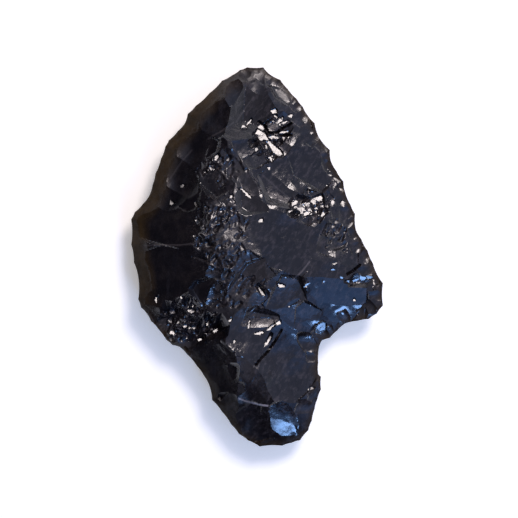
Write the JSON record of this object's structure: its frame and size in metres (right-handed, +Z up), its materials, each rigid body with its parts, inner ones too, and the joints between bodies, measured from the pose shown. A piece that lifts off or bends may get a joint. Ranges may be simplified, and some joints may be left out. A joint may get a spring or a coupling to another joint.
{
  "type": "obsidian projectile point",
  "caption": "Knapped black volcanic-glass projectile point with a blunt tip, a worn left shoulder, a barbed right shoulder and a rounded contracting stem, lying flat.",
  "frame": {"origin": "on the flat that the point rests on, under the middle of its outline", "axes": "+Y from the stem's base to the tip, +Z up out of the obverse, so +X is the barbed side"},
  "size_m": [0.028, 0.0422, 0.0078],
  "materials": {
    "obsidian": "glossy black glass, fresh conchoidal fractures"
  },
  "bodies": {
    "root": {"obsidian_point": "obsidian"}
  },
  "joints": []
}
